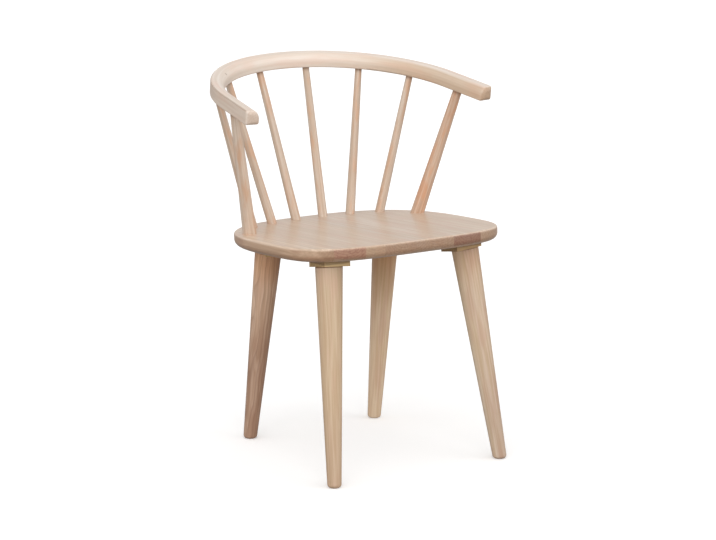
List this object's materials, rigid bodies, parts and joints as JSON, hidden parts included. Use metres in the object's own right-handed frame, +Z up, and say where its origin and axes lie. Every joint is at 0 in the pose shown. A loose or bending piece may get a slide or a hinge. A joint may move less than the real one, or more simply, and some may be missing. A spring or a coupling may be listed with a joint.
{
  "type": "spindle back armchair",
  "caption": "Wooden dining armchair with a bent bow rail on slender spindles, a rounded solid seat and splayed tapered legs.",
  "frame": {"origin": "on the floor, under the middle of the bounding box", "axes": "+Z up, front towards -Y, +X to the right for someone who faces the chair's front"},
  "size_m": [0.5626, 0.5399, 0.7605],
  "materials": {
    "rail_wood": "whitewashed, satin lacquer",
    "spindle_wood": "whitewashed, satin lacquer",
    "seat_wood": "whitewashed, satin lacquer",
    "leg_wood": "whitewashed, satin lacquer",
    "block_wood": "sanded, thin lacquer",
    "zinc_plated_steel": "bright zinc plate"
  },
  "bodies": {
    "root": {"seat_stave_1": "seat_wood", "seat_stave_2": "seat_wood", "seat_stave_3": "seat_wood", "seat_stave_4": "seat_wood", "seat_stave_5": "seat_wood", "seat_stave_6": "seat_wood", "seat_stave_7": "seat_wood", "seat_stave_8": "seat_wood", "bow_rail": "rail_wood", "left_post": "spindle_wood", "right_post": "spindle_wood", "spindle_1": "spindle_wood", "spindle_2": "spindle_wood", "spindle_3": "spindle_wood", "spindle_4": "spindle_wood", "spindle_5": "spindle_wood", "spindle_6": "spindle_wood", "front_left_leg": "leg_wood", "front_right_leg": "leg_wood", "rear_left_leg": "leg_wood", "rear_right_leg": "leg_wood", "front_left_leg_block": "block_wood", "front_right_leg_block": "block_wood", "rear_left_leg_block": "block_wood", "rear_right_leg_block": "block_wood", "front_left_hanger_bolt": "zinc_plated_steel", "front_right_hanger_bolt": "zinc_plated_steel", "rear_left_hanger_bolt": "zinc_plated_steel", "rear_right_hanger_bolt": "zinc_plated_steel", "front_left_threaded_insert": "zinc_plated_steel", "front_right_threaded_insert": "zinc_plated_steel", "rear_left_threaded_insert": "zinc_plated_steel", "rear_right_threaded_insert": "zinc_plated_steel", "block_screws": "zinc_plated_steel"}
  },
  "joints": []
}
